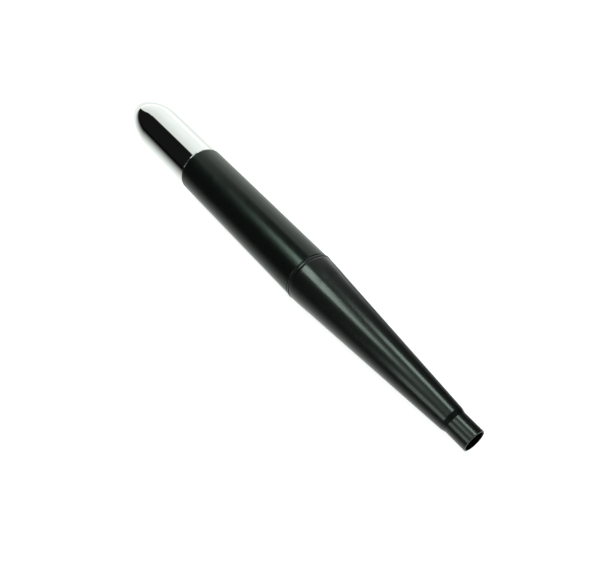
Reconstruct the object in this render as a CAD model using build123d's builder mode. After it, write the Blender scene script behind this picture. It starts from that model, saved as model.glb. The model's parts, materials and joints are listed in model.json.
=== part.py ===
from build123d import *
from math import asin, degrees
import os

# A twin-ended lens cleaning pen. A domed metal cap pulls off the tail and uncovers a
# cleaning tip that recharges itself on a carbon pad inside the cap. At the other end,
# a twist of the tapered barrel drives a soft brush out of the mouth: two pins on the
# brush carriage pass through straight slots in the barrel's drive tube and follow
# helical slots in a cam tube that is fixed in the grip sleeve.
#
# The pen's axis is X, with +X toward the brush. The origin is on the axis, halfway
# along the grip sleeve. Sizes are in millimetres, and outlines are (x, radius) points.

# ---- Overall sizes
sleeve_length = 45.0
sleeve_dia = 12.4
cap_length = 31.95
cap_dia = 12.0
dome_length = 11.8
barrel_length = 51.95
neck_length = 5.2
neck_dia = 5.42
brush_travel = 16.5
twist_turns = 1.0

# ---- Clearances
running_gap = 0.08
soft_gap = 0.3
end_gap = 0.15
seam_gap = 0.25
ring_gap = 0.04

# ---- Outer shells
sleeve_wall = 0.55
sleeve_rim_round = 0.22
cap_wall = 0.4
cap_rim_round = 0.12
nose_round = 3.45
collar_width = 0.6
collar_rise = 0.12
collar_round = 0.16
barrel_wall = 0.72
barrel_rise = 0.04
barrel_edge = 0.06
crown_length = 6.4
crown_drop = 0.42
crown_bulge = 0.05
shoulder_length = 1.1
shoulder_rise = 0.3
shoulder_round = 1.0
neck_wall = 0.3
mouth_round = 0.1

# ---- Cap contents and cleaning tip
liner_wall = 0.5
liner_recess = 0.3
cup_setback = 9.6
cup_length = 4.9
cup_floor = 0.8
cup_wall = 0.7
carbon_pad_thickness = 2.0
cleaning_pad_thickness = 1.2
cleaning_pad_dish = 0.25
tip_head_dia = 6.8
tip_head_thickness = 1.5
tip_boss_dia = 3.8
tip_boss_length = 1.1
tip_neck_dia = 2.6
tip_neck_length = 3.6
tip_neck_waist = 0.35
tip_stem_dia = 3.8
stem_seat = 13.0
spigot_length = 6.0
plug_length = 9.0
plug_hollow_dia = 6.4
plug_hollow_depth = 1.5
ring_section = 1.0
ring_side_gap = 0.1

# ---- Twist drive
cam_wall = 1.1
cam_end_margin = 2.2
cam_tail_margin = 5.0
slot_gap = 0.1
pin_dia = 1.1
pin_root = 2.0
pin_tip_gap = 0.35
drive_wall = 0.9
drive_tail = 1.0
insert_seat = 7.0
clip_width = 1.0
clip_depth = 0.45
clip_rise = 0.75
clip_opening = 60.0
washer_width = 0.5
drag_section = 0.9
drag_to_washer = 0.9
drag_sink = 0.5
follower_length = 7.0

# ---- Barrel insert, rod guide and brush
insert_length = 9.0
insert_bore_dia = 5.2
guide_length = 3.5
rod_dia = 3.0
rod_seat = 4.0
tuft_recess = 4.0
tuft_length = 13.0
tuft_tip_length = 5.0
tuft_root_length = 5.0
ferrule_length = 12.0
ferrule_wall = 0.25
crimp_depth = 0.12
crimp_width = 0.7
crimp_pitch = 1.6
socket_head_length = 1.2

# ---- Stations along the axis
x_sleeve_tail = -sleeve_length / 2
x_sleeve_front = sleeve_length / 2
x_cap_rim = x_sleeve_tail - end_gap
x_cap_nose = x_cap_rim - cap_length
x_dome = x_cap_nose + dome_length
x_nose_centre = x_cap_nose + nose_round
x_collar = x_sleeve_front + seam_gap
x_barrel = x_collar + collar_width
x_mouth = x_barrel + barrel_length
x_neck = x_mouth - neck_length
x_shoulder = x_neck - shoulder_length
x_crown = x_barrel + crown_length

# ---- Radii from the outside in
sleeve_r = sleeve_dia / 2
sleeve_bore = sleeve_r - sleeve_wall
cam_bore = sleeve_bore - cam_wall
drive_r = cam_bore - running_gap
drive_bore = drive_r - drive_wall
follower_r = drive_bore - running_gap
cap_r = cap_dia / 2
cap_bore = cap_r - cap_wall
dome_reach = dome_length - nose_round
dome_bend = (dome_reach**2 + cap_r**2 - nose_round**2) / (2 * (cap_r - nose_round))
dome_turn = degrees(asin(dome_reach / (dome_bend - nose_round)))
liner_bore = cap_bore - liner_wall
spigot_r = liner_bore - running_gap
barrel_r = sleeve_r + barrel_rise
crown_r = barrel_r - crown_drop
neck_r = neck_dia / 2
neck_bore = neck_r - neck_wall
shoulder_r = neck_r + shoulder_rise
ferrule_r = neck_bore - running_gap
ferrule_bore = ferrule_r - ferrule_wall
rod_r = rod_dia / 2
stem_r = tip_stem_dia / 2
pin_r = pin_dia / 2
slot_width = pin_dia + 2 * slot_gap

# ---- Twist drive stations
x_washer = x_collar - washer_width
x_cam_front = x_washer - 2 * running_gap
x_pin_out = x_cam_front - cam_end_margin - slot_width / 2
x_pin = x_pin_out - brush_travel
x_cam_tail = x_pin - cam_tail_margin
x_clip = x_cam_tail - 2 * running_gap - clip_width
x_drive_tail = x_clip - drive_tail
x_drive_front = x_barrel + insert_seat
helix_lead = brush_travel / twist_turns

# ---- Brush stations
x_tuft_tip = x_mouth - tuft_recess
x_ferrule_front = x_tuft_tip - tuft_length
x_ferrule_tail = x_ferrule_front - ferrule_length
x_tuft_root = x_ferrule_front - tuft_root_length
x_socket_tail = x_ferrule_tail - socket_head_length
x_rod_tail = x_pin + follower_length / 2 - rod_seat

# ---- Cap contents and tip stations, from the nose toward the sleeve
x_cup = x_cap_nose + cup_setback
x_carbon = x_cup + cup_floor
x_pad_face = x_carbon + carbon_pad_thickness + soft_gap
x_pad_back = x_pad_face + cleaning_pad_thickness
x_head_back = x_pad_back + tip_head_thickness
x_boss_back = x_head_back + tip_boss_length
x_stem = x_boss_back + tip_neck_length
x_stem_end = x_sleeve_tail - spigot_length + stem_seat
x_ring = x_sleeve_tail - spigot_length / 2

os.makedirs("parts", exist_ok=True)


def barrel_bore_at(x):
    """Radius of the barrel's tapered inside at a station between its face and its neck."""
    if x < x_crown:
        start, end = (x_barrel, barrel_r - barrel_wall), (x_crown, crown_r - barrel_wall)
    else:
        start, end = (x_crown, crown_r - barrel_wall), (x_shoulder, neck_bore)
    share = (x - start[0]) / (end[0] - start[0])
    return start[1] + share * (end[1] - start[1])


def outline(*points):
    """A closed straight-sided outline of (x, radius) points, to turn about the axis."""
    with BuildSketch(Plane.XY) as section:
        with BuildLine():
            Polyline(*points, close=True)
        make_face()
    return section.sketch


def tube(x_start, x_end, inner, outer):
    """The section of a plain tube, or of a rod where the inner radius is 0."""
    return outline((x_start, inner), (x_end, inner), (x_end, outer), (x_start, outer))


def round_section(x, radius, section_r):
    """The round section of a ring of rubber cord, to turn about the axis."""
    with BuildSketch(Plane.XY) as section:
        with Locations((x, radius)):
            Circle(section_r)
    return section.sketch


def finish(piece, name):
    """Label a piece and write it to its own file."""
    piece.part.label = name
    export_step(piece.part, f"parts/{name}.step")


# ======== Handle: sleeve, cam tube, tip socket and cleaning tip ========

with BuildPart() as grip_sleeve:
    revolve(tube(x_sleeve_tail, x_sleeve_front, sleeve_bore, sleeve_r), axis=Axis.X)
    outer_rims = grip_sleeve.edges().filter_by(lambda edge: abs(edge.radius - sleeve_r) < 1e-6
                                               if edge.geom_type == GeomType.CIRCLE else False)
    fillet(outer_rims.sort_by(Axis.X)[0], sleeve_rim_round)
    chamfer(grip_sleeve.faces().sort_by(Axis.X)[-1].outer_wire().edges(), sleeve_rim_round / 2)
finish(grip_sleeve, "grip_sleeve")

# Two opposite slots, one turn each, with round ends where the pins come to rest
with BuildPart() as cam_tube:
    revolve(tube(x_cam_tail, x_cam_front, cam_bore, sleeve_bore), axis=Axis.X)
    cam_middle = (cam_bore + sleeve_bore) / 2
    for start_angle in (0, 180):
        helix = Helix(helix_lead, brush_travel, cam_middle, center=(x_pin, 0, 0),
                      direction=(1, 0, 0), mode=Mode.PRIVATE)
        path = helix.rotate(Axis.X, start_angle)
        radial = Vector(0, (path @ 0).Y, (path @ 0).Z).normalized()
        with BuildSketch(Plane(path @ 0, x_dir=radial, z_dir=path % 0)):
            Rectangle(2 * cam_wall, slot_width)
        sweep(path=path, is_frenet=True, mode=Mode.SUBTRACT)
        for pin_end in (path @ 0, path @ 1):
            outward = Vector(0, pin_end.Y, pin_end.Z).normalized()
            with BuildSketch(Plane((pin_end.X, 0, 0), z_dir=outward).offset(cam_bore / 2)):
                Circle(slot_width / 2)
            extrude(amount=sleeve_bore, mode=Mode.SUBTRACT)
finish(cam_tube, "cam_tube")

with BuildPart() as tip_socket:
    revolve(tube(x_sleeve_tail, x_sleeve_tail + plug_length, 0, sleeve_bore), axis=Axis.X)
    revolve(tube(x_sleeve_tail - spigot_length, x_sleeve_tail, 0, spigot_r), axis=Axis.X)
    chamfer(tip_socket.faces().sort_by(Axis.X)[0].outer_wire().edges(), end_gap)
    groove_half = ring_section / 2 + ring_side_gap
    groove_floor = liner_bore - 2 * ring_gap - ring_section
    revolve(tube(x_ring - groove_half, x_ring + groove_half, groove_floor, cap_r),
            axis=Axis.X, mode=Mode.SUBTRACT)
    revolve(tube(x_sleeve_tail - spigot_length, x_stem_end, 0, stem_r),
            axis=Axis.X, mode=Mode.SUBTRACT)
    revolve(tube(x_sleeve_tail + plug_length - plug_hollow_depth, x_sleeve_tail + plug_length,
                 0, plug_hollow_dia / 2), axis=Axis.X, mode=Mode.SUBTRACT)
finish(tip_socket, "tip_socket")

with BuildPart() as tip_stem:
    revolve(tube(x_stem, x_stem_end, 0, stem_r), axis=Axis.X)
finish(tip_stem, "tip_stem")

# Flexible neck, narrowed in the middle so that the head can tilt to the lens
with BuildPart() as tip_neck:
    with BuildSketch(Plane.XY):
        with BuildLine():
            neck_side = ThreePointArc((x_boss_back, tip_neck_dia / 2),
                                      ((x_boss_back + x_stem) / 2, tip_neck_dia / 2 - tip_neck_waist),
                                      (x_stem, tip_neck_dia / 2))
            Polyline(neck_side @ 1, (x_stem, 0), (x_boss_back, 0), neck_side @ 0)
        make_face()
    revolve(axis=Axis.X)
finish(tip_neck, "tip_neck")

with BuildPart() as tip_head:
    revolve(tube(x_pad_back, x_head_back, 0, tip_head_dia / 2), axis=Axis.X)
    revolve(tube(x_head_back, x_boss_back, 0, tip_boss_dia / 2), axis=Axis.X)
    fillet(tip_head.faces().filter_by(GeomType.PLANE).sort_by(Axis.X)[1].outer_wire().edges(),
           tip_head_thickness / 3)
finish(tip_head, "tip_head")

with BuildPart() as cleaning_pad:
    with BuildSketch(Plane.XY):
        with BuildLine():
            dish = TangentArc((x_pad_face + cleaning_pad_dish, 0),
                              (x_pad_face, tip_head_dia / 2 - soft_gap), tangent=(0, 1))
            Polyline(dish @ 1, (x_pad_face + soft_gap, tip_head_dia / 2),
                     (x_pad_back, tip_head_dia / 2), (x_pad_back, 0), dish @ 0)
        make_face()
    revolve(axis=Axis.X)
finish(cleaning_pad, "cleaning_pad")

# ======== Ring that grips the cap and turns with it on the spigot ========

with BuildPart() as spigot_ring:
    revolve(round_section(x_ring, liner_bore - ring_gap - ring_section / 2, ring_section / 2),
            axis=Axis.X)
finish(spigot_ring, "spigot_ring")

# ======== Cap: domed shell, liner, cup and carbon pad ========

# The dome is a long arc that leaves the side smoothly and ends in a small round nose
with BuildPart() as cap_shell:
    with BuildSketch(Plane.XY):
        with BuildLine():
            dome_middle = (x_dome, cap_r - dome_bend)
            nose_middle = (x_nose_centre, 0)
            side_out = CenterArc(dome_middle, dome_bend, 90, dome_turn)
            nose_out = CenterArc(nose_middle, nose_round, 90 + dome_turn, 90 - dome_turn)
            side_in = CenterArc(dome_middle, dome_bend - cap_wall, 90, dome_turn)
            nose_in = CenterArc(nose_middle, nose_round - cap_wall, 90 + dome_turn, 90 - dome_turn)
            Polyline(side_out @ 0, (x_cap_rim, cap_r), (x_cap_rim, cap_bore), side_in @ 0)
            Line(nose_in @ 1, nose_out @ 1)
        make_face()
    revolve(axis=Axis.X)
    fillet(cap_shell.faces().sort_by(Axis.X)[-1].edges(), cap_rim_round)
finish(cap_shell, "cap_shell")

with BuildPart() as cap_liner:
    revolve(tube(x_dome, x_cap_rim - liner_recess, liner_bore, cap_bore), axis=Axis.X)
    chamfer(cap_liner.faces().sort_by(Axis.X)[-1].inner_wires()[0].edges(), liner_wall / 2)
finish(cap_liner, "cap_liner")

with BuildPart() as pad_cup:
    revolve(tube(x_cup, x_cup + cup_length, 0, liner_bore), axis=Axis.X)
    revolve(tube(x_carbon, x_cup + cup_length, 0, liner_bore - cup_wall),
            axis=Axis.X, mode=Mode.SUBTRACT)
finish(pad_cup, "pad_cup")

with BuildPart() as carbon_pad:
    revolve(tube(x_carbon, x_carbon + carbon_pad_thickness, 0, liner_bore - cup_wall), axis=Axis.X)
finish(carbon_pad, "carbon_pad")

# ======== Front: collar, tapered barrel and the drive tube that turns with it ========

with BuildPart() as collar_ring:
    revolve(tube(x_collar, x_barrel, drive_r, sleeve_r + collar_rise), axis=Axis.X)
    for face in collar_ring.faces().filter_by(GeomType.PLANE):
        fillet(face.outer_wire().edges(), collar_round)
finish(collar_ring, "collar_ring")

# A slightly crowned start, a long straight taper, a rounded shoulder and a straight neck
with BuildPart() as front_barrel:
    with BuildSketch(Plane.XY) as barrel_section:
        with BuildLine():
            crown = ThreePointArc((x_barrel, barrel_r),
                                  ((x_barrel + x_crown) / 2, (barrel_r + crown_r) / 2 + crown_bulge),
                                  (x_crown, crown_r))
            Polyline(crown @ 1, (x_shoulder, shoulder_r), (x_neck, neck_r), (x_mouth, neck_r),
                     (x_mouth, neck_bore), (x_shoulder, neck_bore),
                     (x_crown, crown_r - barrel_wall), (x_barrel, barrel_r - barrel_wall), crown @ 0)
        make_face()
        shoulder_corners = barrel_section.vertices().filter_by(
            lambda v: x_shoulder - 1e-6 < v.X < x_neck + 1e-6 and v.Y > neck_bore + 1e-6)
        fillet(shoulder_corners, shoulder_round)
    revolve(axis=Axis.X)
    fillet(front_barrel.faces().sort_by(Axis.X)[-1].edges(), mouth_round)
    chamfer(front_barrel.faces().sort_by(Axis.X)[0].outer_wire().edges(), barrel_edge)
finish(front_barrel, "front_barrel")

x_insert_end = x_barrel + insert_length
with BuildPart() as barrel_insert:
    revolve(outline((x_barrel, drive_r), (x_barrel, barrel_bore_at(x_barrel)),
                    (x_crown, barrel_bore_at(x_crown)),
                    (x_insert_end, barrel_bore_at(x_insert_end)),
                    (x_insert_end, insert_bore_dia / 2), (x_drive_front, insert_bore_dia / 2),
                    (x_drive_front, drive_r)), axis=Axis.X)
finish(barrel_insert, "barrel_insert")

# The guide seats on the insert's end
x_guide_end = x_insert_end + guide_length
with BuildPart() as rod_guide:
    revolve(outline((x_insert_end, rod_r + running_gap),
                    (x_insert_end, barrel_bore_at(x_insert_end)),
                    (x_guide_end, barrel_bore_at(x_guide_end)),
                    (x_guide_end, rod_r + running_gap)), axis=Axis.X)
finish(rod_guide, "rod_guide")

x_drag = x_washer - drag_to_washer
with BuildPart() as drive_tube:
    revolve(tube(x_drive_tail, x_drive_front, drive_bore, drive_r), axis=Axis.X)
    revolve(tube(x_clip, x_clip + clip_width, drive_r - clip_depth, sleeve_r),
            axis=Axis.X, mode=Mode.SUBTRACT)
    revolve(tube(x_drag - drag_section / 2, x_drag + drag_section / 2, drive_r - drag_sink, sleeve_r),
            axis=Axis.X, mode=Mode.SUBTRACT)
    # Straight slots, one on each side, as long as the pins' travel
    with BuildSketch(Plane.XY):
        with Locations(((x_pin + x_pin_out) / 2, 0)):
            SlotCenterToCenter(brush_travel, slot_width)
    extrude(amount=sleeve_r, both=True, mode=Mode.SUBTRACT)
finish(drive_tube, "drive_tube")

with BuildPart() as retaining_clip:
    revolve(tube(x_clip, x_clip + clip_width, drive_r - clip_depth, drive_r + clip_rise),
            axis=Axis.X, revolution_arc=360 - clip_opening)
finish(retaining_clip, "retaining_clip")

with BuildPart() as drag_ring:
    drag_r = cam_bore - ring_gap - drag_sink / 2
    revolve(round_section(x_drag, drag_r, drag_sink / 2 - ring_gap), axis=Axis.X)
finish(drag_ring, "drag_ring")

with BuildPart() as thrust_washer:
    revolve(tube(x_washer, x_collar, drive_r, sleeve_bore - end_gap), axis=Axis.X)
finish(thrust_washer, "thrust_washer")

# ======== Brush carriage: follower, pins, push rod, ferrule and tuft ========

pin_end_r = sleeve_bore - pin_tip_gap

with BuildPart() as cam_follower:
    revolve(tube(x_pin - follower_length / 2, x_pin + follower_length / 2, 0, follower_r),
            axis=Axis.X)
    revolve(tube(x_rod_tail, x_pin + follower_length / 2, 0, rod_r), axis=Axis.X, mode=Mode.SUBTRACT)
    for side in (1, -1):
        with BuildSketch(Plane((x_pin, 0, side * pin_root), z_dir=(0, 0, side))):
            Circle(pin_r)
        extrude(amount=follower_r, mode=Mode.SUBTRACT)
finish(cam_follower, "cam_follower")

with BuildPart() as follower_pins:
    for side in (1, -1):
        with BuildSketch(Plane((x_pin, 0, side * pin_root), z_dir=(0, 0, side))):
            Circle(pin_r)
        extrude(amount=pin_end_r - pin_root)
finish(follower_pins, "follower_pins")

with BuildPart() as push_rod:
    revolve(tube(x_rod_tail, x_tuft_root - rod_seat / 2, 0, rod_r), axis=Axis.X)
finish(push_rod, "push_rod")

with BuildPart() as ferrule_socket:
    revolve(tube(x_socket_tail, x_ferrule_tail, 0, ferrule_r), axis=Axis.X)
    revolve(tube(x_ferrule_tail, x_tuft_root, 0, ferrule_bore), axis=Axis.X)
    revolve(tube(x_socket_tail, x_tuft_root - rod_seat / 2, 0, rod_r),
            axis=Axis.X, mode=Mode.SUBTRACT)
finish(ferrule_socket, "ferrule_socket")

with BuildPart() as ferrule:
    revolve(tube(x_ferrule_tail, x_ferrule_front, ferrule_bore, ferrule_r), axis=Axis.X)
    for turn in (1, 2):
        x_crimp = x_ferrule_tail + turn * crimp_pitch
        revolve(tube(x_crimp - crimp_width / 2, x_crimp + crimp_width / 2,
                     ferrule_r - crimp_depth, sleeve_r), axis=Axis.X, mode=Mode.SUBTRACT)
finish(ferrule, "ferrule")

with BuildPart() as bristle_tuft:
    with BuildSketch(Plane.XY):
        with BuildLine():
            tuft_point = EllipticalCenterArc((x_tuft_tip - tuft_tip_length, 0), tuft_tip_length,
                                             ferrule_bore, start_angle=0, arc_size=90)
            Polyline(tuft_point @ 1, (x_tuft_root, ferrule_bore), (x_tuft_root, 0), tuft_point @ 0)
        make_face()
    revolve(axis=Axis.X)
finish(bristle_tuft, "bristle_tuft")
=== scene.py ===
import json
import math
import random

import bmesh
import bpy
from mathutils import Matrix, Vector, noise

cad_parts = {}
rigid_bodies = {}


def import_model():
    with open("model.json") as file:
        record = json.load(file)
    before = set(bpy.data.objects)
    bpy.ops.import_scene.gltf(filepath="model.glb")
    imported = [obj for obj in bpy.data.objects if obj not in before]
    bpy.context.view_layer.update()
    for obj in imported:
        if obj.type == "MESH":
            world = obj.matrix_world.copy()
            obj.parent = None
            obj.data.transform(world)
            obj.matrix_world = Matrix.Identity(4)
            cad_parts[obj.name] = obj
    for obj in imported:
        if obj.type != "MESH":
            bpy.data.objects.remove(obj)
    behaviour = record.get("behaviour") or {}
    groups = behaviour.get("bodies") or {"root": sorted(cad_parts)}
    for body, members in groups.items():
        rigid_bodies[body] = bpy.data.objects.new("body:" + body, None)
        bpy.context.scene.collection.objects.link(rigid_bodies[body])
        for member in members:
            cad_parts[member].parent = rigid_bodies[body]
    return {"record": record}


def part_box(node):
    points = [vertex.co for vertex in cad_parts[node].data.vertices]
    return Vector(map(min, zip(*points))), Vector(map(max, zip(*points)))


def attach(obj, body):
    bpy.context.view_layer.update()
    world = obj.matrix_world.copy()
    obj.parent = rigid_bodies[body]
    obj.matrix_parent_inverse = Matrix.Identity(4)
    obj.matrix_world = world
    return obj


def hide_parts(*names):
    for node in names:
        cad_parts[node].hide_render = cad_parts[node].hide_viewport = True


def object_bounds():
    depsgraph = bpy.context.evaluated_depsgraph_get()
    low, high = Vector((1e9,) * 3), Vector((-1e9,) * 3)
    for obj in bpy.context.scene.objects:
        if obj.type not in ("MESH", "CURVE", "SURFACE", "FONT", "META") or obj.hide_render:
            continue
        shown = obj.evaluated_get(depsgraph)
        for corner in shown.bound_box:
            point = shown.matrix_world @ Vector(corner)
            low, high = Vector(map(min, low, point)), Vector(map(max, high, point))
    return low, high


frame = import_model()
cad_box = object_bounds()

# ---- Sizes, in metres. Places come from the frame, and these are the walls and edges
# that a node's box doesn't give.
MM = 0.001
CAP_WALL = 0.40 * MM
CAP_RIM_ROUND = 0.12 * MM
DOME_LENGTH = 11.8 * MM
NOSE_ROUND = 3.45 * MM
SLEEVE_WALL = 0.55 * MM
SLEEVE_TAIL_ROUND = 0.22 * MM
SLEEVE_FRONT_ROUND = 0.11 * MM
COLLAR_ROUND = 0.16 * MM
COLLAR_FRONT_ROUND = 0.07 * MM
BARREL_WALL = 0.72 * MM
BARREL_EDGE = 0.06 * MM
CROWN_LENGTH = 6.4 * MM
CROWN_DROP = 0.42 * MM
CROWN_BULGE = 0.05 * MM
NECK_LENGTH = 5.2 * MM
NECK_RADIUS = 2.71 * MM
NECK_WALL = 0.30 * MM
SHOULDER_LENGTH = 1.1 * MM
SHOULDER_RISE = 0.3 * MM
SHOULDER_ROUND = 1.0 * MM
MOUTH_ROUND = 0.10 * MM

# ---- How finely the turned pieces are divided, and where their long runs get a support ring
AROUND = 192
PAD_AROUND = 144
ARC_STEPS = 8
DOME_STEPS = 40
CROWN_STEPS = 12
LONG_RUN = 1.4 * MM
SUPPORT = 0.03 * MM
ON_AXIS = 1e-8

rng = random.Random(7)


# ======== Lathe work ========

def arc_corner(before, corner, after, radius):
    """Points of the arc that rounds one corner of an outline."""
    a, c, b = Vector(before), Vector(corner), Vector(after)
    to_a, to_b = (a - c).normalized(), (b - c).normalized()
    half = math.acos(max(-1.0, min(1.0, to_a.dot(to_b)))) / 2
    reach = radius / math.tan(half)
    centre = c + (to_a + to_b).normalized() * (radius / math.sin(half))
    start, end = c + to_a * reach - centre, c + to_b * reach - centre
    first = math.atan2(start.y, start.x)
    sweep = math.atan2(end.y, end.x) - first
    sweep = (sweep + math.pi) % math.tau - math.pi
    points = []
    for step in range(ARC_STEPS + 1):
        angle = first + sweep * step / ARC_STEPS
        points.append((centre.x + radius * math.cos(angle), centre.y + radius * math.sin(angle)))
    return points


def supported(outline, closed=True):
    """The outline with a point just inside each end of its long runs, so they shade straight."""
    ends = outline[1:] + (outline[:1] if closed else [])
    points = []
    for a, b in zip(outline, ends):
        points.append(a)
        run = math.dist(a, b)
        if run > LONG_RUN:
            for share in (SUPPORT / run, 1 - SUPPORT / run):
                points.append((a[0] + (b[0] - a[0]) * share, a[1] + (b[1] - a[1]) * share))
    return points if closed else points + [outline[-1]]


def rounded(corners):
    """A closed outline from (x, radius, rounding) corners, with its long runs supported."""
    points = []
    for i, (x, r, rounding) in enumerate(corners):
        if not rounding:
            points.append((x, r))
            continue
        before, after = corners[i - 1], corners[(i + 1) % len(corners)]
        points += arc_corner(before[:2], (x, r), after[:2], rounding)
    return supported(points)


def lathe(name, outline, closed=True, around=AROUND):
    """A smooth closed mesh turned about the X axis from (x, radius) points. An outline that
    isn't closed starts and ends on the axis."""
    bm = bmesh.new()
    rings = []
    for x, r in outline:
        if r < ON_AXIS:
            rings.append([bm.verts.new((x, 0, 0))])
            continue
        rings.append([bm.verts.new((x, r * math.cos(math.tau * i / around),
                                    r * math.sin(math.tau * i / around)))
                      for i in range(around)])
    pairs = list(zip(rings, rings[1:]))
    if closed:
        pairs.append((rings[-1], rings[0]))
    for a, b in pairs:
        for i in range(around):
            j = (i + 1) % around
            if len(a) == 1:
                bm.faces.new((a[0], b[j], b[i]))
            elif len(b) == 1:
                bm.faces.new((a[i], a[j], b[0]))
            else:
                bm.faces.new((a[i], a[j], b[j], b[i]))
    return to_object(bm, name)


def to_object(bm, name):
    """Make a smooth object of a bmesh, with its faces turned outward."""
    bmesh.ops.recalc_face_normals(bm, faces=bm.faces)
    mesh = bpy.data.meshes.new(name)
    bm.to_mesh(mesh)
    bm.free()
    mesh.shade_smooth()
    piece = bpy.data.objects.new(name, mesh)
    bpy.context.scene.collection.objects.link(piece)
    return piece


def settle(piece, body, slot, material, *replaced):
    """Finish a piece: its material, its body and the CAD nodes it stands for. The slot argument is
    not used.
    """
    piece.data.materials.append(material)
    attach(piece, body)
    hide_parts(*replaced)
    return piece


# ======== Materials ========

class Surface:
    """A principled material, with short ways to add grain to its colour, roughness and bump."""

    def __init__(self, name, metallic=0.0, **sockets):
        self.material = bpy.data.materials.new(name + "_finish")
        self.material.use_nodes = True
        self.tree = self.material.node_tree
        self.shader = self.tree.nodes["Principled BSDF"]
        self.shader.inputs["Metallic"].default_value = metallic
        for socket, value in sockets.items():
            self.shader.inputs[socket.replace("_", " ")].default_value = value
        self.normal = None

    def add(self, kind, **values):
        node = self.tree.nodes.new(kind)
        for key, value in values.items():
            setattr(node, key, value)
        return node

    def link(self, source, target):
        self.tree.links.new(source, target)

    def grain(self, size, stretch=(1, 1, 1), detail=3.0, rough=0.55, seed=0.0):
        """Noise whose spots are about size metres across; stretch lengthens them per axis."""
        place = self.add("ShaderNodeTexCoord")
        mapping = self.add("ShaderNodeMapping")
        mapping.inputs["Location"].default_value = (seed, seed * 0.7, seed * 0.3)
        mapping.inputs["Scale"].default_value = [1 / (size * s) for s in stretch]
        self.link(place.outputs["Object"], mapping.inputs["Vector"])
        cells = self.add("ShaderNodeTexNoise")
        cells.inputs["Scale"].default_value = 1.0
        cells.inputs["Detail"].default_value = detail
        cells.inputs["Roughness"].default_value = rough
        self.link(mapping.outputs["Vector"], cells.inputs["Vector"])
        return cells.outputs["Fac"]

    def spread(self, source, low, high, start=0.3, end=0.7):
        """Map a 0 to 1 source onto low to high."""
        node = self.add("ShaderNodeMapRange")
        node.inputs["From Min"].default_value = start
        node.inputs["From Max"].default_value = end
        node.inputs["To Min"].default_value = low
        node.inputs["To Max"].default_value = high
        self.link(source, node.inputs["Value"])
        return node.outputs["Result"]

    def rims(self, stations, width):
        """A mask that is 1 at each station along the pen and 0 a width away from it."""
        place = self.add("ShaderNodeTexCoord")
        split = self.add("ShaderNodeSeparateXYZ")
        self.link(place.outputs["Object"], split.inputs[0])
        total = None
        for station in stations:
            away = self.add("ShaderNodeMath", operation="SUBTRACT")
            self.link(split.outputs["X"], away.inputs[0])
            away.inputs[1].default_value = station
            size = self.add("ShaderNodeMath", operation="ABSOLUTE")
            self.link(away.outputs[0], size.inputs[0])
            near = self.spread(size.outputs[0], 1.0, 0.0, 0.0, width)
            if total is not None:
                larger = self.add("ShaderNodeMath", operation="MAXIMUM")
                self.link(total, larger.inputs[0])
                self.link(near, larger.inputs[1])
                near = larger.outputs[0]
            total = near
        return total

    def times(self, first, second):
        """The product of two sources."""
        node = self.add("ShaderNodeMath", operation="MULTIPLY")
        self.link(first, node.inputs[0])
        self.link(second, node.inputs[1])
        return node.outputs[0]

    def paint(self, source, *stops):
        """Colour from a source through (place, colour) stops."""
        ramp = self.add("ShaderNodeValToRGB")
        while len(ramp.color_ramp.elements) < len(stops):
            ramp.color_ramp.elements.new(0.5)
        for element, (place, colour) in zip(ramp.color_ramp.elements, stops):
            element.position = place
            element.color = (*colour, 1)
        self.link(source, ramp.inputs["Fac"])
        return ramp.outputs["Color"]

    def mix(self, factor, source, colour):
        """A colour source mixed toward a fixed colour by a factor."""
        node = self.add("ShaderNodeMix", data_type="RGBA")
        self.link(factor, node.inputs["Factor"])
        self.link(source, node.inputs[6])
        node.inputs[7].default_value = (*colour, 1)
        return node.outputs[2]

    def bump(self, source, height, strength=1.0):
        """Raise the surface by up to height metres where the source is 1."""
        node = self.add("ShaderNodeBump")
        node.inputs["Strength"].default_value = strength
        node.inputs["Distance"].default_value = height
        self.link(source, node.inputs["Height"])
        if self.normal is not None:
            self.link(self.normal, node.inputs["Normal"])
        self.normal = node.outputs["Normal"]

    def done(self, colour, roughness):
        """The finished material, from a colour source and a roughness source or number."""
        self.link(colour, self.shader.inputs["Base Color"])
        if isinstance(roughness, float):
            self.shader.inputs["Roughness"].default_value = roughness
        else:
            self.link(roughness, self.shader.inputs["Roughness"])
        if self.normal is not None:
            self.link(self.normal, self.shader.inputs["Normal"])
        return self.material


def shade(colour, factor):
    """A colour made lighter or darker."""
    return tuple(c * factor for c in colour)


def simple(name, colour, roughness, size, spread_by, height, stretch=(1, 1, 1), **sockets):
    """A surface whose colour, roughness and bump all vary with one grain and a broad mottle."""
    s = Surface(name, **sockets)
    fine = s.grain(size, stretch)
    broad = s.grain(size * 14, detail=2.0, seed=3.1)
    tone = s.paint(fine, (0.3, shade(colour, 1 - spread_by)), (0.7, shade(colour, 1 + spread_by)))
    tone = s.mix(s.spread(broad, 0.0, 0.35), tone, shade(colour, 1 - spread_by * 0.5))
    s.bump(fine, height)
    return s.done(tone, s.spread(broad, roughness * 0.88, min(1.0, roughness * 1.12)))


cap_lo, cap_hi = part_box("cap_shell")
sleeve_lo, sleeve_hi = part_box("grip_sleeve")
collar_lo, collar_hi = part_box("collar_ring")
barrel_lo, barrel_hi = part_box("front_barrel")
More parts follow.
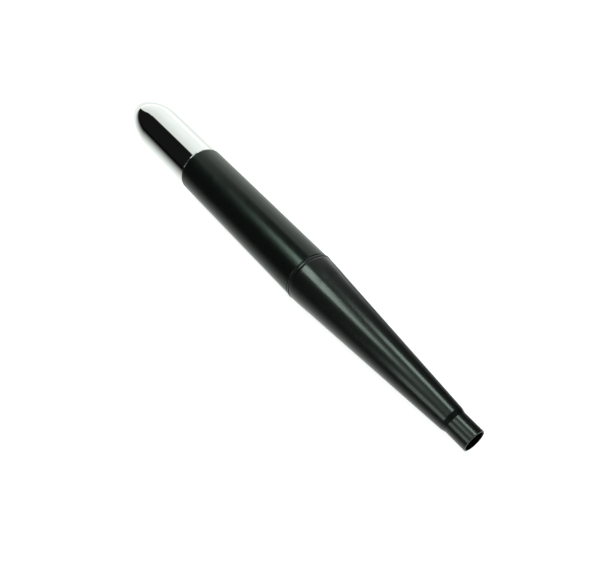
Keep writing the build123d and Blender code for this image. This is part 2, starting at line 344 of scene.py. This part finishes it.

# Satin black anodising: very fine tooth, a faint mottle, and rims a little brighter, partly rubbed
# wear and partly a painted highlight where the rim edges catch the light
s = Surface("sleeve_black", Specular_IOR_Level=0.5, Specular_Tint=(0.85, 1.0, 0.92, 1))
tooth = s.grain(0.06 * MM, detail=4.0)
cloud = s.grain(2.2 * MM, detail=2.0, seed=1.7)
tone = s.paint(tooth, (0.32, (0.0030, 0.0037, 0.0034)), (0.68, (0.0056, 0.0066, 0.0061)))
# Painted highlight: an even, paler ring at both rims of the sleeve stands for the rim edges
# catching the light. It is partly rubbed wear too.
rim_tint = s.times(s.rims((sleeve_lo.x, sleeve_hi.x), 0.30 * MM),
                 s.spread(s.grain(0.35 * MM, seed=5.2), 0.15, 0.55, 0.42, 0.72))
tone = s.mix(rim_tint, tone, (0.045, 0.048, 0.046))
s.bump(tooth, 0.0007 * MM, 0.5)
sleeve_black = s.done(tone, s.spread(cloud, 0.21, 0.25))

# Black lacquer: glossier, a soft orange peel, and hair-fine handling marks along the barrel
s = Surface("barrel_black", Specular_IOR_Level=0.25, Coat_Weight=0.55, Coat_Roughness=0.17)
peel = s.grain(0.55 * MM, detail=2.0)
marks = s.grain(0.07 * MM, (40, 1, 1), detail=3.0, seed=2.3)
tone = s.paint(peel, (0.3, (0.0032, 0.0039, 0.0036)), (0.7, (0.0054, 0.0064, 0.0059)))
# The collar's back edge, the barrel's back edge and the mouth are rubbed a little paler
rim_tint = s.times(s.rims((collar_lo.x, barrel_lo.x, barrel_hi.x), 0.22 * MM),
                 s.spread(s.grain(0.3 * MM, seed=6.4), 0.0, 0.5, 0.45, 0.72))
tone = s.mix(rim_tint, tone, (0.07, 0.072, 0.070))
s.bump(peel, 0.0010 * MM, 0.6)
barrel_black = s.done(tone, s.spread(marks, 0.33, 0.39))

# Mirror chrome: faint haze, finger smudges that only roughen it, and polishing lines
s = Surface("mirror_chrome", metallic=1.0)
smudge = s.grain(3.0 * MM, (1.6, 1, 1), detail=3.0, seed=4.4)
polish = s.grain(0.05 * MM, (60, 1, 1), detail=2.0, seed=0.9)
tone = s.paint(smudge, (0.35, (0.845, 0.858, 0.847)), (0.75, (0.872, 0.885, 0.874)))
s.bump(polish, 0.00010 * MM, 0.4)
mirror_chrome = s.done(tone, s.spread(smudge, 0.022, 0.055, 0.42, 0.8))

# Turned metals: rings of tool marks round the axis
RINGS = (1, 60, 60)
ALONG = (30, 1, 1)
satin_aluminium = simple("satin_aluminium", (0.66, 0.66, 0.67), 0.34, 0.05 * MM, 0.10,
                         0.0015 * MM, RINGS, metallic=1.0)
spring_steel = simple("spring_steel", (0.50, 0.50, 0.52), 0.26, 0.04 * MM, 0.12,
                      0.0010 * MM, RINGS, metallic=1.0)
socket_brass = simple("socket_brass", (0.70, 0.53, 0.24), 0.28, 0.05 * MM, 0.12,
                      0.0015 * MM, RINGS, metallic=1.0)
ferrule_metal = simple("ferrule_metal", (0.72, 0.71, 0.69), 0.18, 0.06 * MM, 0.08,
                       0.0006 * MM, ALONG, metallic=1.0)

# Plastics and rubber: moulded grain
black_plastic = simple("black_plastic", (0.020, 0.020, 0.021), 0.42, 0.09 * MM, 0.22,
                       0.0025 * MM, Specular_IOR_Level=0.5)
pale_plastic = simple("pale_plastic", (0.74, 0.72, 0.66), 0.38, 0.12 * MM, 0.06, 0.0015 * MM,
                      Subsurface_Weight=0.12, Subsurface_Scale=0.6 * MM)
black_rubber = simple("black_rubber", (0.020, 0.020, 0.020), 0.68, 0.07 * MM, 0.30, 0.0040 * MM)

# Soft faces: napped suede dusted with carbon, and dense felt
s = Surface("pad_suede", Sheen_Weight=0.55, Sheen_Roughness=0.45)
nap = s.grain(0.07 * MM, detail=5.0, rough=0.7)
lay = s.grain(0.9 * MM, detail=2.0, seed=2.8)
tone = s.paint(nap, (0.25, (0.026, 0.025, 0.024)), (0.55, (0.050, 0.048, 0.045)),
               (0.8, (0.085, 0.081, 0.076)))
dust = s.spread(s.grain(0.28 * MM, detail=4.0, seed=7.7), 0.0, 0.75, 0.45, 0.7)
tone = s.mix(dust, tone, (0.014, 0.014, 0.014))
s.bump(nap, 0.03 * MM, 0.9)
s.bump(lay, 0.03 * MM, 0.4)
pad_suede = s.done(tone, 0.95)

s = Surface("carbon_felt", Sheen_Weight=0.3, Sheen_Roughness=0.5)
fibre = s.grain(0.10 * MM, (1, 3, 1), detail=5.0, rough=0.7)
tone = s.paint(fibre, (0.3, (0.008, 0.008, 0.008)), (0.75, (0.034, 0.034, 0.034)))
s.bump(fibre, 0.05 * MM, 0.9)
carbon_felt = s.done(tone, 1.0)

# Hair: each bristle has its own tone, with darker streaks along it
s = Surface("dark_bristle", Specular_IOR_Level=0.5, Sheen_Weight=0.15)
island = s.add("ShaderNodeNewGeometry")
tone = s.paint(island.outputs["Random Per Island"], (0.0, (0.014, 0.011, 0.009)),
               (0.6, (0.034, 0.027, 0.022)), (1.0, (0.075, 0.060, 0.048)))
streak = s.grain(0.05 * MM, (12, 1, 1), detail=3.0, seed=8.1)
tone = s.mix(s.spread(streak, 0.0, 0.5), tone, (0.010, 0.008, 0.007))
dark_bristle = s.done(tone, s.spread(streak, 0.34, 0.52))

MATERIALS = {m.name.removesuffix("_finish"): m for m in (
    sleeve_black, barrel_black, mirror_chrome, satin_aluminium, spring_steel, socket_brass,
    ferrule_metal, black_plastic, pale_plastic, black_rubber, pad_suede, carbon_felt,
    dark_bristle)}

# Every CAD node that stays gets its slot's finished material
for part in frame["record"]["subparts"]:
    node = bpy.data.objects[part["node"]]
    finish = MATERIALS[part["material_slot"]]
    node.data.materials.clear()
    node.data.materials.append(finish)


# ======== Outer shells ========

cap_r = cap_hi.z
dome_x = cap_lo.x + DOME_LENGTH
nose_x = cap_lo.x + NOSE_ROUND
reach = DOME_LENGTH - NOSE_ROUND
bend = (reach ** 2 + cap_r ** 2 - NOSE_ROUND ** 2) / (2 * (cap_r - NOSE_ROUND))
dome_turn = math.asin(reach / (bend - NOSE_ROUND))


def dome(inset):
    """The dome's outline from its tip, set in from the outside: the nose arc, then the side arc."""
    points = []
    for step in range(DOME_STEPS):
        angle = (math.pi / 2 - dome_turn) * step / DOME_STEPS
        points.append((nose_x - (NOSE_ROUND - inset) * math.cos(angle),
                       (NOSE_ROUND - inset) * math.sin(angle)))
    for step in range(DOME_STEPS + 1):
        angle = dome_turn * (1 - step / DOME_STEPS)
        points.append((dome_x - (bend - inset) * math.sin(angle),
                       cap_r - bend + (bend - inset) * math.cos(angle)))
    return points


outer_dome, inner_dome = dome(0), dome(CAP_WALL)
rim = arc_corner((dome_x, cap_r), (cap_hi.x, cap_r), (cap_hi.x, 0), CAP_RIM_ROUND)
rim += arc_corner((cap_hi.x, cap_r), (cap_hi.x, cap_r - CAP_WALL), (dome_x, cap_r - CAP_WALL),
                  CAP_RIM_ROUND)
settle(lathe("chrome_cap", supported(outer_dome + rim + inner_dome[::-1], False), closed=False),
       "cap", "mirror_chrome", mirror_chrome, "cap_shell")

sleeve_r = sleeve_hi.z
settle(lathe("grip_tube", rounded((
    (sleeve_lo.x, sleeve_r, SLEEVE_TAIL_ROUND),
    (sleeve_hi.x, sleeve_r, SLEEVE_FRONT_ROUND),
    (sleeve_hi.x, sleeve_r - SLEEVE_WALL, 0),
    (sleeve_lo.x, sleeve_r - SLEEVE_WALL, 0)))),
    "handle", "sleeve_black", sleeve_black, "grip_sleeve")

collar_r = collar_hi.z
drive_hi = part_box("drive_tube")[1]
settle(lathe("collar_band", rounded((
    (collar_lo.x, collar_r, COLLAR_ROUND),
    (collar_hi.x, collar_r, COLLAR_FRONT_ROUND),
    (collar_hi.x, drive_hi.z, 0),
    (collar_lo.x, drive_hi.z, 0)))),
    "barrel", "barrel_black", barrel_black, "collar_ring")

barrel_r = barrel_hi.z
crown_r = barrel_r - CROWN_DROP
x_crown = barrel_lo.x + CROWN_LENGTH
x_neck = barrel_hi.x - NECK_LENGTH
x_shoulder = x_neck - SHOULDER_LENGTH
shoulder_r = NECK_RADIUS + SHOULDER_RISE
neck_bore = NECK_RADIUS - NECK_WALL
barrel_corners = [(barrel_lo.x, barrel_r - BARREL_EDGE, 0),
                  (barrel_lo.x + BARREL_EDGE, barrel_r, 0)]
for step in range(1, CROWN_STEPS + 1):
    share = step / CROWN_STEPS
    swell = CROWN_BULGE * 4 * share * (1 - share)
    barrel_corners.append((barrel_lo.x + CROWN_LENGTH * share,
                           barrel_r - CROWN_DROP * share + swell, 0))
barrel_corners += [
    (x_shoulder, shoulder_r, SHOULDER_ROUND), (x_neck, NECK_RADIUS, SHOULDER_ROUND),
    (barrel_hi.x, NECK_RADIUS, MOUTH_ROUND), (barrel_hi.x, neck_bore, MOUTH_ROUND),
    (x_shoulder, neck_bore, 0), (x_crown, crown_r - BARREL_WALL, 0),
    (barrel_lo.x, barrel_r - BARREL_WALL, 0)]
settle(lathe("barrel_cone", rounded(barrel_corners)),
       "barrel", "barrel_black", barrel_black, "front_barrel")


# ======== Brush: separate tapered hairs ========

HAIRS = 1500
HAIR_SIDES = 5
HAIR_RINGS = 9
HAIR_RADIUS = 0.042 * MM
TIP_SHARE = 0.16
TAPER_START = 0.35
ROOT_SUNK = 1.5 * MM
TUFT_INSET = 0.05 * MM
ROOT_FILL = 0.97
TIP_ROUNDING = 4.6 * MM
TIP_SCATTER = 0.22
TIP_SPREAD = (0.60, 0.80)
BELLY = 0.06
DRIFT = 0.10
KINK = 0.03
GOLDEN_ANGLE = math.pi * (3 - math.sqrt(5))

tuft_lo, tuft_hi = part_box("bristle_tuft")
ferrule_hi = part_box("ferrule")[1]
tuft_r = tuft_hi.z - TUFT_INSET
root_x = ferrule_hi.x - ROOT_SUNK
bm = bmesh.new()
for hair in range(HAIRS):
    share = math.sqrt((hair + 0.5) / HAIRS)
    angle = hair * GOLDEN_ANGLE + rng.uniform(-0.25, 0.25)
    root_r = tuft_r * ROOT_FILL * share
    # Outer hairs end earlier, which rounds the tip, and lean out a little on the way
    tip_x = tuft_hi.x - TIP_ROUNDING * (1 - math.sqrt(max(0.0, 1 - share ** 2.4)))
    tip_x -= abs(rng.gauss(0, TIP_SCATTER)) * MM
    tip_r = tuft_r * min(0.99, share * rng.uniform(*TIP_SPREAD))
    belly = tuft_r * BELLY * share * rng.uniform(0.0, 1.0)
    drift = rng.uniform(-DRIFT, DRIFT)
    kink = rng.uniform(-KINK, KINK) * MM
    rings = []
    for ring in range(HAIR_RINGS + 1):
        t = ring / HAIR_RINGS
        r = root_r + (tip_r - root_r) * t ** 2 + belly * math.sin(math.pi * t)
        r = min(r, tuft_r)
        turn = angle + drift * t
        y = r * math.cos(turn) + kink * math.sin(math.pi * t)
        z = r * math.sin(turn) - kink * math.sin(math.pi * t)
        x = root_x + (tip_x - root_x) * t
        taper = max(0.0, (t - TAPER_START) / (1 - TAPER_START)) ** 1.3
        thick = HAIR_RADIUS * (1 - (1 - TIP_SHARE) * taper)
        rings.append([bm.verts.new((x, y + thick * math.cos(math.tau * k / HAIR_SIDES),
                                    z + thick * math.sin(math.tau * k / HAIR_SIDES)))
                      for k in range(HAIR_SIDES)])
    for a, b in zip(rings, rings[1:]):
        for k in range(HAIR_SIDES):
            m = (k + 1) % HAIR_SIDES
            bm.faces.new((a[k], a[m], b[m], b[k]))
    bm.faces.new(rings[0][::-1])
    bm.faces.new(rings[-1])
settle(to_object(bm, "brush_hairs"), "brush", "dark_bristle", dark_bristle, "bristle_tuft")


# ======== Soft pads ========

FACE_RINGS = 34
ROLL_RINGS = 10
WALL_RINGS = 8
BACK_RINGS = 6
NAP_SIZE = 0.22 * MM


def soft_disc(name, lo, hi, dish, crown, nap, toward_brush):
    """A thick napped disc. Its working face is dished and its edge rolls over."""
    radius, thick = hi.z, hi.x - lo.x
    face = [(lo.x + dish * (1 - (i / FACE_RINGS) ** 2), radius * (1 - crown) * i / FACE_RINGS)
            for i in range(FACE_RINGS + 1)]
    roll = [(lo.x + thick * crown * (1 - math.cos(math.pi / 2 * k / ROLL_RINGS)),
             radius * (1 - crown) + radius * crown * math.sin(math.pi / 2 * k / ROLL_RINGS))
            for k in range(1, ROLL_RINGS + 1)]
    wall = [(lo.x + thick * crown + (thick * (1 - crown)) * k / WALL_RINGS, radius)
            for k in range(1, WALL_RINGS + 1)]
    back = [(hi.x, radius * (1 - k / BACK_RINGS)) for k in range(1, BACK_RINGS + 1)]
    outline = face + roll + wall + back
    if toward_brush:
        outline = [(lo.x + hi.x - x, r) for x, r in outline]
    piece = lathe(name, outline, closed=False, around=PAD_AROUND)
    centre = Vector(((lo.x + hi.x) / 2, 0, 0))
    for vert in piece.data.vertices:
        inward = (centre - vert.co).normalized()
        depth = noise.fractal(vert.co / NAP_SIZE, 0.8, 2.1, 4) * 0.5 + 0.5
        vert.co += inward * nap * min(1.0, max(0.0, depth))
    piece.data.update()
    return piece


pad_lo, pad_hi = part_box("cleaning_pad")
suede = soft_disc("suede_pad", pad_lo, pad_hi, 0.25 * MM, 0.12, 0.05 * MM, False)
settle(suede, "handle", "pad_suede", pad_suede, "cleaning_pad")

felt_lo, felt_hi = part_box("carbon_pad")
felt = soft_disc("felt_disc", felt_lo, felt_hi, 0.0, 0.10, 0.07 * MM, True)
settle(felt, "cap", "carbon_felt", carbon_felt, "carbon_pad")


# ======== Studio ========

FLOOR_Z = cad_box[0][2] - 0.01 * MM
FLOOR_HALF = 3.0
FLOOR_GLOW = 0.84
GREEN_WHITE = (0.955, 1.0, 0.965)
LAMP_GREEN = (0.80, 1.0, 0.89)


def plane(name, z):
    """A flat square sheet of the studio, seen from above."""
    half = FLOOR_HALF
    mesh = bpy.data.meshes.new(name)
    mesh.from_pydata([(-half, -half, z), (half, -half, z), (half, half, z), (-half, half, z)],
                     [], [(0, 1, 2, 3)])
    sheet = bpy.data.objects.new(name, mesh)
    bpy.context.scene.collection.objects.link(sheet)
    return sheet


# The floor that is seen, and a sheet in its place that only reflections see, so that gloss
# shows a table that is bright under the pen and falls away in front of it, and behind its barrel
floor = plane("floor", FLOOR_Z)
floor.visible_glossy = False
s = Surface("floor_white")
s.shader.inputs["Emission Color"].default_value = (1, 1, 1, 1)
s.shader.inputs["Emission Strength"].default_value = FLOOR_GLOW
speck = s.grain(4 * MM, detail=3.0)
floor.data.materials.append(
    s.done(s.paint(speck, (0.3, (0.79, 0.79, 0.79)), (0.7, (0.81, 0.81, 0.81))), 0.9))

TABLE_BRIGHT = 0.98
TABLE_NEAR = 8 * MM
TABLE_FALL = 13 * MM
TABLE_REAR_FALL = 18 * MM
TABLE_REAR_FAR = 4.0
table = plane("table_glow", FLOOR_Z - 0.02 * MM)
table.visible_camera = False
table.visible_diffuse = False
table.visible_shadow = False
glow = bpy.data.materials.new("table_glow_light")
glow.use_nodes = True
tree = glow.node_tree
tree.nodes.clear()


def make(kind, **values):
    """A node in the tree that is being built."""
    node = tree.nodes.new(kind)
    for key, value in values.items():
        setattr(node, key, value)
    return node


def calc(operation, first, second=0.0):
    """A math node on two numbers or outputs."""
    node = make("ShaderNodeMath", operation=operation)
    for socket, value in zip(node.inputs, (first, second)):
        if isinstance(value, (int, float)):
            socket.default_value = value
        else:
            tree.links.new(value, socket)
    return node.outputs[0]


def step_between(source, start, end, low=0.0, high=1.0):
    """A smooth step from low to high as the source goes from start to end."""
    node = make("ShaderNodeMapRange", interpolation_type="SMOOTHSTEP")
    for socket, value in (("From Min", start), ("From Max", end), ("To Min", low),
                          ("To Max", high)):
        node.inputs[socket].default_value = value
    tree.links.new(source, node.inputs["Value"])
    return node.outputs["Result"]


coords = make("ShaderNodeTexCoord")
split = make("ShaderNodeSeparateXYZ")
tree.links.new(coords.outputs["Object"], split.inputs[0])
ahead = calc("MAXIMUM", calc("SUBTRACT", calc("MULTIPLY", split.outputs["Y"], -1.0), TABLE_NEAR),
             0.0)
front_fall = calc("POWER", math.e, calc("DIVIDE", ahead, -TABLE_FALL))
rear = calc("MAXIMUM", calc("SUBTRACT", split.outputs["Y"], TABLE_NEAR), 0.0)
rear_reach = step_between(split.outputs["X"], -10 * MM, 15 * MM, TABLE_REAR_FAR,
                          TABLE_REAR_FALL)
rear_fall = calc("POWER", math.e, calc("MULTIPLY", calc("DIVIDE", rear, rear_reach), -1.0))
fall = calc("MULTIPLY", front_fall, rear_fall)
emit = make("ShaderNodeEmission")
emit.inputs["Color"].default_value = (*GREEN_WHITE, 1)
tree.links.new(calc("MULTIPLY", fall, TABLE_BRIGHT), emit.inputs["Strength"])
tree.links.new(emit.outputs[0], make("ShaderNodeOutputMaterial").inputs["Surface"])
table.data.materials.append(glow)

# A direction is given in degrees, by its turn about the pen, from 0 level in front through 90
# overhead to 180 level behind, and by its lean toward the brush end. The backdrop fills the
# back. Beyond the cap it reaches overhead, and over the sleeve it draws back and grows dimmer.
ROOM_LIGHT = 0.008
PALE_SKY = 0.95
world = bpy.data.worlds.new("studio")
bpy.context.scene.world = world
world.use_nodes = True
tree = world.node_tree
tree.nodes.clear()
coords = make("ShaderNodeTexCoord")
split = make("ShaderNodeSeparateXYZ")
tree.links.new(coords.outputs["Generated"], split.inputs[0])
turn = calc("DEGREES", calc("ARCTAN2", split.outputs["Z"],
                            calc("MULTIPLY", split.outputs["Y"], -1.0)))
lean = calc("DEGREES", calc("ARCSINE", split.outputs["X"]))
edge = calc("ADD", calc("ADD", step_between(lean, -80.0, -56.0, 68.0, 79.0),
                        step_between(lean, -50.0, -43.5, 0.0, 4.0)),
            step_between(lean, -43.3, -39.5, 0.0, 43.0))
behind = calc("MAXIMUM", step_between(calc("SUBTRACT", turn, edge), -2.5, 2.5),
              step_between(turn, -150.0, -130.0, 1.0, 0.0))
reach_out = calc("ADD", step_between(lean, -43.4, -40.0, 0.14, 0.0),
                 calc("SUBTRACT", step_between(lean, -32.0, -27.0, 0.86, 0.28),
                      step_between(lean, -25.0, -19.5, 0.0, 0.27)))
rise = calc("ADD", step_between(turn, 85.0, 140.0, 0.84, 1.05),
            step_between(turn, 145.0, 178.0, 0.0, 0.30))
backdrop = calc("MULTIPLY", calc("MULTIPLY", behind, reach_out), rise)
room = make("ShaderNodeBackground")
room.inputs["Color"].default_value = (*GREEN_WHITE, 1)
tree.links.new(calc("ADD", backdrop, ROOM_LIGHT), room.inputs["Strength"])
pale = make("ShaderNodeBackground")
pale.inputs["Color"].default_value = (1, 1, 1, 1)
pale.inputs["Strength"].default_value = PALE_SKY
path = make("ShaderNodeLightPath")
choose = make("ShaderNodeMixShader")
tree.links.new(path.outputs["Is Camera Ray"], choose.inputs["Fac"])
tree.links.new(room.outputs[0], choose.inputs[1])
tree.links.new(pale.outputs[0], choose.inputs[2])
tree.links.new(choose.outputs[0], make("ShaderNodeOutputWorld").inputs["Surface"])


def softbox(name, low_x, high_x, low_turn, high_turn, away, radiance):
    """A lamp along the pen that covers a range of x and of turn, at a distance from the axis."""
    middle = math.radians((low_turn + high_turn) / 2)
    height = 2 * away * math.tan(math.radians(high_turn - low_turn) / 2)
    width = high_x - low_x
    light = bpy.data.lights.new(name, "AREA")
    light.shape = "RECTANGLE"
    light.size, light.size_y = width, height
    light.energy = radiance * math.pi * width * height
    light.color = LAMP_GREEN
    lamp = bpy.data.objects.new(name, light)
    place = Vector(((low_x + high_x) / 2, -away * math.cos(middle), away * math.sin(middle)))
    lamp.location = place
    lamp.rotation_euler = Vector((0, -place.y, -place.z)).to_track_quat("-Z", "Y").to_euler()
    bpy.context.scene.collection.objects.link(lamp)
    lamp.visible_camera = False


FAR = 0.5
NEAR = 0.13
softbox("key_main", -0.242, -0.15, 61, 88, FAR, 9.6)
softbox("key_side", -0.298, -0.242, 72, 89, FAR, 6.6)
softbox("key_tail", -0.15, -0.07, 62, 78, FAR, 6.0)
softbox("rim_back", -0.10, 0.03, 103, 121, FAR, 8.1)
softbox("rim_front", 0.026, 0.072, 12, 36, NEAR, 3.0)
softbox("fill_front", 0.024, 0.072, 36, 100, NEAR, 0.50)


# ======== Camera ========

def direction(azimuth, elevation):
    """Unit vector toward a place, with azimuth 0 at the front and elevation above the floor."""
    a, e = math.radians(azimuth), math.radians(elevation)
    return Vector((math.sin(a) * math.cos(e), -math.cos(a) * math.cos(e), math.sin(e)))


SENSOR = 36.0
LENS = 45.6
CAMERA_AZIMUTH = 52.4153
CAMERA_ELEVATION = 50.1254
CAMERA_DISTANCE = 0.17328
AIM = Vector((0.023287, 0, 0))
SHIFT_RIGHT = -0.0170
SHIFT_UP = -0.017167

data = bpy.data.cameras.new("camera")
data.sensor_width = SENSOR
data.lens = LENS
data.shift_x = SHIFT_RIGHT
data.shift_y = SHIFT_UP
data.clip_start = 5 * MM
camera = bpy.data.objects.new("camera", data)
back = direction(CAMERA_AZIMUTH, CAMERA_ELEVATION)
camera.location = AIM + back * CAMERA_DISTANCE
camera.rotation_euler = back.to_track_quat("Z", "Y").to_euler()
bpy.context.scene.collection.objects.link(camera)
bpy.context.scene.camera = camera
bpy.context.scene.view_settings.view_transform = "Standard"
